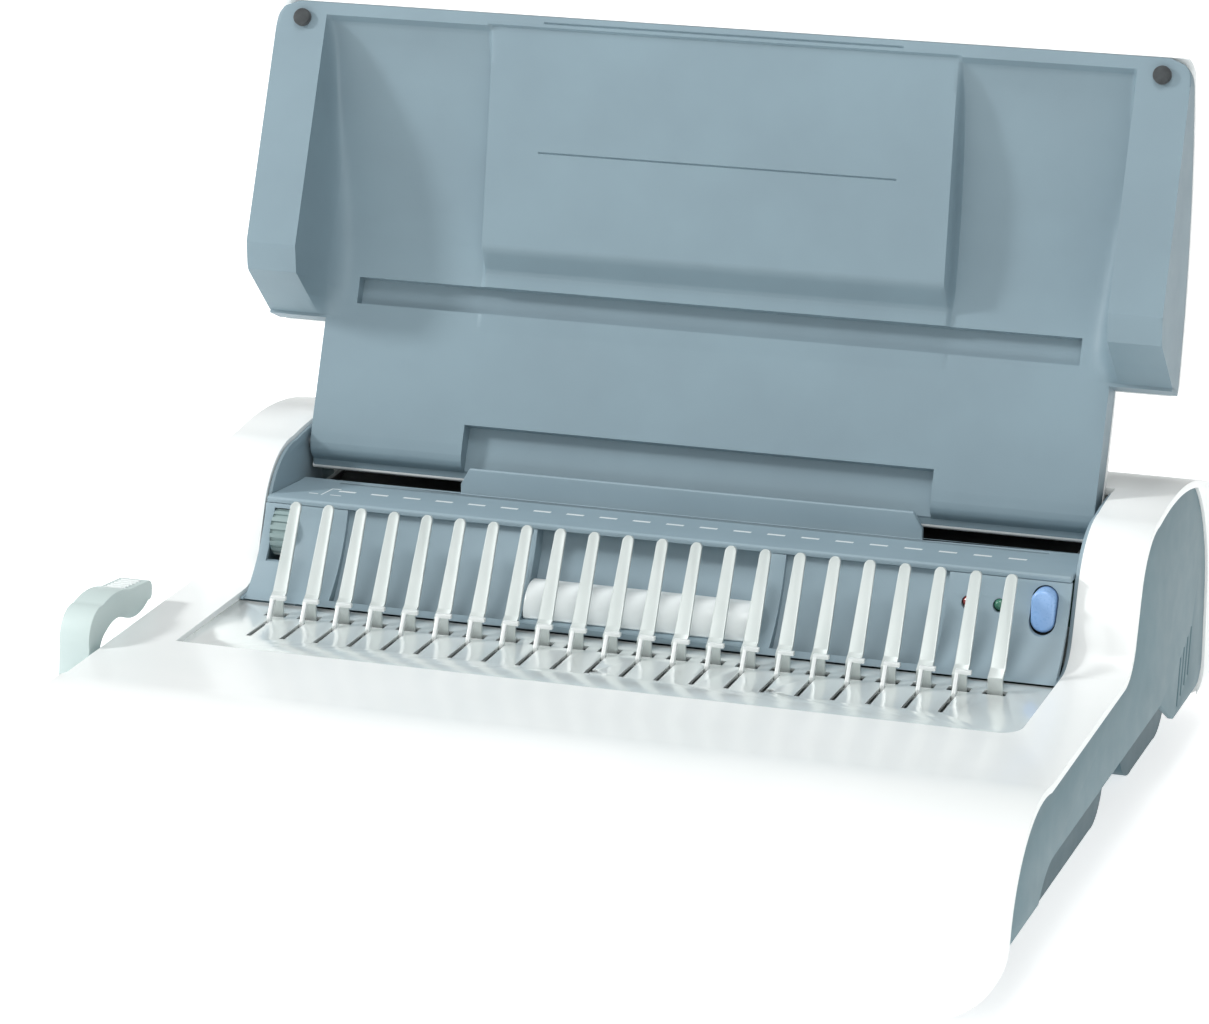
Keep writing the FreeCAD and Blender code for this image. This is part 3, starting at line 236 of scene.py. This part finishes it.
# %% The metals, rubber, board and lenses of this machine
finishes.update({
    "plate_steel": lined_metal("bright_rolled_stainless", "E6ECEB", "EEF2F1", 0.16, 0.35, "x", 0.01, 0.5),
    "finger_steel": lined_metal("satin_pressed_strip", "C4CCCA", "CED5D3", 0.42, 0.3, "z", 0.02, 0.4),
    "hook_nickel": lined_metal("satin_nickel_hooks", "E9EEED", "F2F5F4", 0.36, 0.5, "z", 0.01, 0.3),
    "tool_steel": lined_metal("ground_tool_steel", "9A9DA0", "ABAEB0", 0.30, 0.5, "x"),
    "zinc_sheet": lined_metal("zinc_plated_sheet", "A9ADAB", "BEC2C0", 0.42, 2.5, "y", 0.02),
    "motor_can": lined_metal("drawn_motor_can", "7A7E80", "8A8E90", 0.4, 0.8, "x"),
    "bearing_brass": lined_metal("sintered_bronze", "A98748", "C0A063", 0.35, 0.6, "x"),
    "cover_black": grained_abs("black_painted_sheet", "0F1112", "181B1C", 0.6, 0.9, 0.15),
    "foot_rubber": soft_rubber("moulded_soft_rubber"),
    "board_green": polished_abs("lacquered_board", "235A39", "2F6B45", 0.35),
    "lamp_red": tinted_lens("tinted_red_lens", "7A2B2A", "96403C"),
    "lamp_green": tinted_lens("tinted_green_lens", "2F6B57", "44836C"),
})
print("finishes:", len(finishes))

# %% [markdown]
# ## Give every node its finish
# The record says which material slot each node belongs to, so the finishes above are handed out by slot.
# Pieces that are remade later in finer detail take their slot's finish in the same way.

# %% Finishes by slot
slot_of = {entry["node"]: entry["material_slot"] for entry in frame["record"]["subparts"]}
for name, thing in frame["nodes"].items():
    thing.data.materials.clear()
    thing.data.materials.append(finishes[slot_of[name]])
print("nodes finished:", len(slot_of))

# %% [markdown]
# ## Rounded mouldings
# No moulded edge is razor sharp: the tool is rounded by a few tenths of a millimetre, and that thin curve
# is what catches the light. The big shells already have the right shape in the frame, so a copy of each
# is merged, its flat triangles are joined back into whole faces, and its corner edges are bevelled.


# %% A helper that rounds the edges of a frame node
def finish_piece(name, mesh_source, body, slot, replaced, finish=None, sharp=40):
    """Makes the object, shades it, gives it its finish, and sets it on its body in place of frame nodes."""
    mesh = bpy.data.meshes.new(name)
    mesh_source.to_mesh(mesh)
    mesh_source.free()
    mesh.shade_smooth()
    mesh.set_sharp_from_angle(angle=math.radians(sharp))
    piece = bpy.data.objects.new(name, mesh)
    bpy.context.scene.collection.objects.link(piece)
    mesh.materials.append(finishes[finish or slot])
    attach(piece, body)
    if replaced:
        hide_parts(*replaced)
    return piece


def corner_edges(source, least=32):
    """Edges where two faces meet at a real corner."""
    corners = []
    for edge in source.edges:
        if len(edge.link_faces) == 2 and edge.calc_face_angle(0) > math.radians(least):
            corners.append(edge)
    return corners


def whole_faces(node):
    """A copy of a frame node's mesh, merged, with its flat triangles joined back into whole faces."""
    source = bmesh.new()
    source.from_mesh(frame["nodes"][node].data)
    bmesh.ops.remove_doubles(source, verts=source.verts, dist=2e-5)
    bmesh.ops.dissolve_limit(source, angle_limit=math.radians(0.6), verts=source.verts, edges=source.edges)
    return source


def round_edges(source, edges, radius, segments):
    """Bevels edges to a round of the given radius, in the mesh's own units."""
    bmesh.ops.bevel(source, geom=edges, offset=radius, offset_type="OFFSET", segments=segments, profile=0.5,
                    affect="EDGES", clamp_overlap=True, material=-1)


def rounded_node(node, name, body, radius_mm, segments=2, least=32, finish=None):
    """A copy of a frame node with rounded corners, in the node's place."""
    source = whole_faces(node)
    corners = corner_edges(source, least)
    round_edges(source, corners, radius_mm * MM, segments)
    piece = finish_piece(name, source, body, slot_of[node], [node], finish)
    print(name, "corners:", len(corners), "faces:", len(piece.data.polygons))
    return piece


# %% Round the shells, cheeks and small mouldings
rounded_node("upper_housing", "white_housing", "chassis", 0.9, 3)
rounded_node("lid_outer_shell", "lid_crown", "lid", 0.8, 3)
rounded_node("comb_panel", "comb_panel_moulding", "chassis", 0.7, 3, finish="panel_grey")
rounded_node("punch_deck", "punch_deck_moulding", "chassis", 1.0, 4, finish="panel_grey")
rounded_node("base_tray", "base_moulding", "chassis", 1.0, 3)
rounded_node("side_panel_left", "cheek_left", "chassis", 0.6, 2)
rounded_node("side_panel_right", "cheek_right", "chassis", 0.6, 2)
rounded_node("comb_gauge", "comb_gauge_box", "chassis", 2.2, 4)
rounded_node("chip_tray", "chip_drawer", "tray", 0.8, 2)
rounded_node("rubber_feet", "rubber_pads", "chassis", 0.8, 2)
rounded_node("lid_bumpers", "lid_buffers", "lid", 0.5, 2)
rounded_node("mains_inlet", "mains_socket", "chassis", 0.5, 2)
rounded_node("switch_bezel", "switch_surround", "chassis", 0.5, 2)
rounded_node("power_switch", "switch_rocker", "rocker", 0.5, 2)
rounded_node("punch_button", "punch_key", "button", 1.5, 4)
rounded_node("comb_hooks", "hook_row", "hook_slide", 0.25, 2, finish="hook_nickel")
rounded_node("comb_plate", "comb_shelf", "chassis", 0.15, 2)
rounded_node("lever_bush", "lever_collar", "chassis", 0.3, 2)
rounded_node("mechanism_cover", "punch_cover", "chassis", 0.8, 2)
rounded_node("throat_floor", "throat_bed", "chassis", 0.3, 2)

# %% [markdown]
# ## Lid liner
# The inside of the lid is one large moulding with no undercuts, so it can be drawn as a surface whose
# height is known at every point: a flat rim, two scooped pockets, a raised middle, a finger channel and
# the neck. A flat grid is cut exactly where a wall or groove starts and ends, each point is lifted to its
# height, and the rim is pulled up as flanks until it meets the crown. It is drawn closed and then swung
# open about the hinge.


# %% Heights of the lid liner
# Half widths of the flat between the side strips, the raised middle, the neck, its notch, channel and
# grooves
STRIP, MIDDLE, NECK, NOTCH, CHANNEL_HALF, GROOVE_HALF = 172.0, 100.0, 168.3, 100.5, 155.0, 76.1
HEAD_HALF, HEAD_FRONT, HEAD_BACK, NECK_BACK = 193.8, -119.2, 7.8, 69.2
CHANNEL = (-10.4, 0.6)  # where the finger tips go in, from front to back
NOTCH_FRONT = 47.6
GROOVES = (-116.4, -65.0)
CORNER = 9.0  # radius of the head's front corners
# Heights along the lid, each point as (place from front to back, height)
NECK_LINE = [(56, 112.6), (60.5, 113), (63.4, 114), (65.2, 115.6), (66.2, 117.6), (66.8, 119), (69.2, 119.9)]
RIM_LINE = [(-119.2, 75.8), (-16, 75.8), (-5.5, 81), (6.5, 111.4)] + NECK_LINE
MIDDLE_LINE = [(-114.8, 75.8), (-114, 77.6), (-27, 98.8), (-25, 99.6), (-17.5, 108), (-16, 108.8),
               (8, 111.5)] + NECK_LINE
POCKET_LINE = [(-114, 75.8), (-112.4, 79.2), (-104, 85), (-94, 90.2), (-82, 95.4), (-70, 99.8), (-56, 104),
               (-40, 107.6), (-26, 110), (-14, 111), (8, 111.5)] + NECK_LINE


def along(line, y):
    """The height of a chain of straight pieces at y."""
    for (y0, z0), (y1, z1) in zip(line, line[1:]):
        if y <= y1:
            return z0 + (z1 - z0) * max(0.0, (y - y0) / (y1 - y0))
    return line[-1][1]


def eased(value, start, end):
    """A soft step from 0 at start to 1 at end."""
    share = min(1.0, max(0.0, (value - start) / (end - start)))
    return share * share * (3 - 2 * share)


def liner_height(x, y):
    """The closed liner's lower face: pockets and middle inside, walls that curve down to the strips."""
    side = abs(x)
    foot = 5 + 15 * eased(y, -90, -5)
    wall = min(1.0, max(0.0, (side - STRIP + foot) / foot)) ** 5
    step = eased(side, MIDDLE - 1.2, MIDDLE + 1.2)
    inner = along(MIDDLE_LINE, y) * (1 - step) + along(POCKET_LINE, y) * step
    height = inner * (1 - wall) + along(RIM_LINE, y) * wall
    if side < CHANNEL_HALF and CHANNEL[0] < y < CHANNEL[1]:
        height = 116.0
    if side < NOTCH and y > NOTCH_FRONT:
        height = max(height, 118.5)
    if side < GROOVE_HALF and min(abs(y - groove) for groove in GROOVES) < 0.1:
        height += 0.7
    return height


print("pocket depth mm:", round(liner_height(140, -40) - liner_height(183, -40), 1))


# %% Helpers that cut the liner, swing it and find the crown over it
def cut_lines(source, axis, places):
    """Adds a line of edges across the whole grid at each place on an axis."""
    normal = [0.0, 0.0, 0.0]
    normal[axis] = 1.0
    for place in places:
        spot = [0.0, 0.0, 0.0]
        spot[axis] = place
        whole = source.verts[:] + source.edges[:] + source.faces[:]
        bmesh.ops.bisect_plane(source, geom=whole, dist=1e-4, plane_co=spot, plane_no=normal)


def swing_open(source):
    """From closed drawing millimetres to the open lid in frame metres."""
    away = Matrix.Translation(-HINGE_MM)
    swing = Matrix.Rotation(-OPEN_ANGLE, 4, "X")
    scale = Matrix.Scale(MM, 4)
    home = Matrix.Translation(HOME + HINGE_MM * MM)
    bmesh.ops.transform(source, matrix=home @ scale @ swing @ away, verts=source.verts)


def crown_over(source_node):
    """A search tree of the crown, in closed drawing millimetres."""
    crown = bmesh.new()
    crown.from_mesh(frame["nodes"][source_node].data)
    close = (Matrix.Translation(HINGE_MM) @ Matrix.Rotation(OPEN_ANGLE, 4, "X") @ Matrix.Scale(1000, 4)
             @ Matrix.Translation(-HOME - HINGE_MM * MM))
    bmesh.ops.transform(crown, matrix=close, verts=crown.verts)
    tree = BVHTree.FromBMesh(crown)
    crown.free()
    return tree


# %% A flat grid, cut where walls and grooves start and end
liner = bmesh.new()
bmesh.ops.create_grid(liner, x_segments=176, y_segments=84, size=0.5)
depth = NECK_BACK - HEAD_FRONT
bmesh.ops.scale(liner, vec=(2 * HEAD_HALF, depth, 1), verts=liner.verts)
bmesh.ops.translate(liner, vec=(0, HEAD_FRONT + depth / 2, 0), verts=liner.verts)
across = [STRIP - inset for inset in (0.0, 0.6, 1.2, 1.9, 2.7, 3.6, 5.0)]
across += [MIDDLE + 1.2, MIDDLE - 1.2, MIDDLE, CHANNEL_HALF - 0.1, CHANNEL_HALF + 0.2, NECK]
across += [NOTCH - 0.1, NOTCH + 0.3, GROOVE_HALF - 0.1, GROOVE_HALF + 0.4]
cut_lines(liner, 0, [sign * place for place in across for sign in (-1, 1)])
front_to_back = [place + side for place in CHANNEL for side in (-0.1, 0.1)]
front_to_back += [NOTCH_FRONT - 0.1, NOTCH_FRONT + 0.2, -16, -5.5, 6.5, HEAD_BACK, -114, -112.4, -27, -25]
front_to_back += [-17.5, 56, 60.5, 63.4, 65.2, 66.2, 66.8]
front_to_back += [groove + side for groove in GROOVES for side in (-0.55, 0.0, 0.55)]
cut_lines(liner, 1, front_to_back)
outside = [face for face in liner.faces
           if face.calc_center_median().y > HEAD_BACK and abs(face.calc_center_median().x) > NECK]
bmesh.ops.delete(liner, geom=outside, context="FACES")
print("grid faces:", len(liner.faces))


# %% Lift the grid to its heights
def round_front_corner(spot):
    """Pulls a point of the side strip in, so the head's front corners are round."""
    into = CORNER - (spot.y - HEAD_FRONT)
    if into > 0 and abs(spot.x) > STRIP:
        edge_half = HEAD_HALF - CORNER + math.sqrt(max(0.0, CORNER ** 2 - into ** 2))
        share = (abs(spot.x) - STRIP) / (HEAD_HALF - STRIP)
        spot.x = math.copysign(STRIP + share * (edge_half - STRIP), spot.x)


for vert in liner.verts:
    round_front_corner(vert.co)
    vert.co.z = liner_height(vert.co.x, vert.co.y)
print("liner heights mm:", round(min(vert.co.z for vert in liner.verts), 1), "to",
      round(max(vert.co.z for vert in liner.verts), 1))

# %% Pull the rim up to the crown and swing the liner open
rim_edges = [edge for edge in liner.edges if edge.is_boundary]
raised = bmesh.ops.extrude_edge_only(liner, edges=rim_edges)["geom"]
crown_tree = crown_over("lid_outer_shell")
for vert in raised:
    if isinstance(vert, bmesh.types.BMVert):
        below_crown = Vector((vert.co.x * 0.9, min(vert.co.y, 65.0), 70))
        spot, *_ = crown_tree.ray_cast(below_crown, Vector((0, 0, 1)))
        vert.co.z = max(vert.co.z + 0.4, spot.z - 0.25)
round_edges(liner, rim_edges, 0.9, 3)
bmesh.ops.reverse_faces(liner, faces=liner.faces)
swing_open(liner)
liner_piece = finish_piece("lid_lining", liner, "lid", "liner_grey", ["lid_inner_liner"], sharp=38)
print("liner faces:", len(liner_piece.data.polygons))

# %% [markdown]
# ## Fingers
# The 22 fingers are pressed from thin strip with a shallow raised border, which stiffens them and shows
# as a bright outline. The sheared edges are eased first, then each front face is set in a little.

# %% Fingers with raised borders
strip = whole_faces("comb_fingers")
round_edges(strip, corner_edges(strip, 50), 0.2 * MM, 2)
fronts = [face for face in strip.faces
          if face.normal.y < -0.6 and face.normal.z > 0.2 and face.calc_area() > 100 * MM * MM]
bmesh.ops.inset_individual(strip, faces=fronts, thickness=0.55 * MM, depth=-0.16 * MM)
finger_piece = finish_piece("finger_row", strip, "chassis", "plate_steel", ["comb_fingers"],
                            "finger_steel", 50)
print("finger fronts:", len(fronts), "faces:", len(finger_piece.data.polygons))

# %% [markdown]
# ## Comb lever
# The lever is a swan-necked moulding with a flat thumb pad. The arm is rounded generously, and six low
# ribs across the pad keep the thumb from slipping. The ribs are small bevelled bars set into the pad.


# %% Lever arm and thumb ribs
def bar(source, low, high, round_mm, segments=3):
    """Adds a round-edged bar to a mesh, from one corner to the other in drawing millimetres."""
    low, high = Vector(low), Vector(high)
    made = bmesh.ops.create_cube(source, size=1.0)["verts"]
    bmesh.ops.scale(source, vec=high - low, verts=made)
    bmesh.ops.translate(source, vec=(low + high) / 2, verts=made)
    round_edges(source, list({edge for vert in made for edge in vert.link_edges}), round_mm, segments)


def to_frame(source):
    """From drawing millimetres to frame metres."""
    bmesh.ops.transform(source, matrix=Matrix.Translation(HOME) @ Matrix.Scale(MM, 4), verts=source.verts)


rounded_node("comb_lever", "comb_lever_arm", "lever", 2.2, 4, 45)
lever_low, lever_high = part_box("comb_lever")
PAD_MARGIN, RIB_STEP, RIB_HALF = 2.4, 3.3, 0.8
pad_left = (lever_low[0] - HOME.x) / MM + PAD_MARGIN
pad_right = (lever_high[0] - HOME.x) / MM - PAD_MARGIN
ribs = bmesh.new()
for index in range(6):
    rib_y = -61.5 + RIB_STEP * index
    rib_top = 86.75 - 0.1 * (rib_y + 60)  # the pad slopes down a little to the back
    bar(ribs, (pad_left, rib_y - RIB_HALF, rib_top - 2 * RIB_HALF),
        (pad_right, rib_y + RIB_HALF, rib_top), 0.35)
to_frame(ribs)
finish_piece("thumb_ribs", ribs, "lever", "lever_grey", [], "gauge_white")
print("pad width mm:", round(pad_right - pad_left, 1))

# %% [markdown]
# ## Edge dial
# The dial that moves the edge stop is a small knurled wheel. Its rim starts as a many-sided drum, and
# every second side is sunk a little to leave the ribs.

# %% Knurled dial
dial_low, dial_high = (Vector(corner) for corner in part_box("edge_guide_dial"))
dial_middle = (dial_low + dial_high) / 2
dial_radius = (dial_high.z - dial_low.z) / 2
dial = bmesh.new()
bmesh.ops.create_cone(dial, cap_ends=True, segments=36, radius1=dial_radius, radius2=dial_radius,
                      depth=dial_high.x - dial_low.x)
bmesh.ops.rotate(dial, matrix=Matrix.Rotation(math.radians(90), 3, "Y"), verts=dial.verts)
rim_faces = [face for face in dial.faces if len(face.verts) == 4]
rim_faces.sort(key=lambda face: math.atan2(face.calc_center_median().z, face.calc_center_median().y))
bmesh.ops.inset_individual(dial, faces=rim_faces[::2], thickness=0.2 * MM, depth=-0.7 * MM)
caps = [face for face in dial.faces if len(face.verts) > 8]
bmesh.ops.inset_individual(dial, faces=caps, thickness=1.6 * MM, depth=-0.4 * MM)
bmesh.ops.translate(dial, vec=dial_middle, verts=dial.verts)
finish_piece("edge_dial_wheel", dial, "edge_dial", slot_of["edge_guide_dial"], ["edge_guide_dial"],
             "dial_grey", 25)
print("dial radius mm:", round(dial_radius / MM, 2))

# %% [markdown]
# ## Printed marks on the deck
# A white dash stands in front of each of the 21 holes, with a small bracket where the paper's edge
# belongs. Ink has almost no thickness, so each mark is a wafer that stands 0.04 mm proud of the sloping
# deck.


# %% Dashes and bracket
DECK_FRONT, DECK_TOP, DECK_FALL, DECK_RUN = 11.9, 108.8, 2.8, 34.3


def deck_level(y):
    """The deck's height, which falls from the front to the back."""
    return DECK_TOP - DECK_FALL * (y - DECK_FRONT) / DECK_RUN


def mark(source, x0, x1, y0, y1):
    """A wafer lying on the sloping deck."""
    made = bmesh.ops.create_cube(source, size=1.0)["verts"]
    bmesh.ops.scale(source, vec=(x1 - x0, y1 - y0, 0.3), verts=made)
    bmesh.ops.rotate(source, matrix=Matrix.Rotation(math.atan2(-DECK_FALL, DECK_RUN), 3, "X"), verts=made)
    middle = (y0 + y1) / 2
    bmesh.ops.translate(source, vec=((x0 + x1) / 2, middle, deck_level(middle) - 0.11), verts=made)


marks = bmesh.new()
for index in range(FINGERS - 1):
    middle_x = ROW_START + PITCH * (index + 0.5)
    mark(marks, middle_x - 3.7, middle_x + 3.7, 31.2, 33.4)
# The bracket's upright and foot, and a short stroke on each side of it
mark(marks, -151.0, -150.4, 22.5, 36.0)
mark(marks, -150.4, -146.9, 35.1, 36.0)
mark(marks, -147.2, -142.4, 23.4, 24.3)
mark(marks, -156.6, -152.6, 23.4, 24.3)
to_frame(marks)
finish_piece("hole_marks", marks, "chassis", "gauge_white", [])
print("dashes:", FINGERS - 1)

# %% [markdown]
# ## Camera, light and floor
# A long lens about two metres away keeps the machine's lines nearly parallel. A small, fairly hard key
# light at the left draws the shadows in the lid's pockets, a soft one above and a softer one in front
# fill them, and an even room fills the rest. The floor glows a little, as paper lit from behind, so it
# stays white round the shell.


# %% Camera
def place_camera():
    """A long lens in front of the machine and to its right, which looks about 16 degrees down."""
    camera = bpy.data.cameras.new("view")
    camera.sensor_width = 36.0
    camera.lens = 142.45
    camera.clip_end = 20
    holder = bpy.data.objects.new("view", camera)
    holder.location = HOME + Vector((0.5693, -1.7386, 0.6634))
    holder.rotation_euler = (math.radians(73.5), math.radians(-0.19), math.radians(18.76))
    bpy.context.scene.collection.objects.link(holder)
    bpy.context.scene.camera = holder
    return holder


view = place_camera()
print("camera at", [round(c, 3) for c in view.location])


# %% Lights and room
def disk_light(name, place, aim, size, power):
    """A round lamp of a given width, turned to a point; the wider it is, the softer its shadow."""
    lamp = bpy.data.lights.new(name, "AREA")
    lamp.shape = "DISK"
    lamp.size = size
    lamp.energy = power
    holder = bpy.data.objects.new(name, lamp)
    holder.location = place
    holder.rotation_euler = (Vector(aim) - Vector(place)).to_track_quat("-Z", "Y").to_euler()
    bpy.context.scene.collection.objects.link(holder)


disk_light("key", (-2.3, -0.85, 1.5), (0.0, 0.0, 0.18), 0.4, 46)
disk_light("top", (0.2, -0.8, 2.4), (0.0, 0.0, 0.1), 1.2, 24)
disk_light("front", (0.7, -2.6, 1.4), (0.0, 0.0, 0.1), 1.8, 9)

room = bpy.data.worlds.new("studio")
room.use_nodes = True
room.node_tree.nodes["Background"].inputs["Color"].default_value = linear("F6F9F9")
room.node_tree.nodes["Background"].inputs["Strength"].default_value = 0.42
bpy.context.scene.world = room
bpy.context.scene.view_settings.view_transform = "Standard"
print("lamps:", sorted(lamp.name for lamp in bpy.data.lights))

# %% Paper floor
FLOOR_HALF = 6.0  # metres
ground = bmesh.new()
bmesh.ops.create_grid(ground, x_segments=8, y_segments=8, size=FLOOR_HALF)
floor_mesh = bpy.data.meshes.new("studio_floor")
ground.to_mesh(floor_mesh)
ground.free()
floor = bpy.data.objects.new("studio_floor", floor_mesh)
bpy.context.scene.collection.objects.link(floor)
paper, paper_tree, paper_shader, paper_place = new_finish(
    "seamless_paper", {"Roughness": 0.8, "Emission Strength": 0.65})
paper_tint = drift(paper_tree, paper_place, "F7F9F9", "FBFCFC", 400)
paper_tree.links.new(paper_tint, paper_shader.inputs["Base Color"])
floor_mesh.materials.append(paper)
print("floor m across:", 2 * FLOOR_HALF)
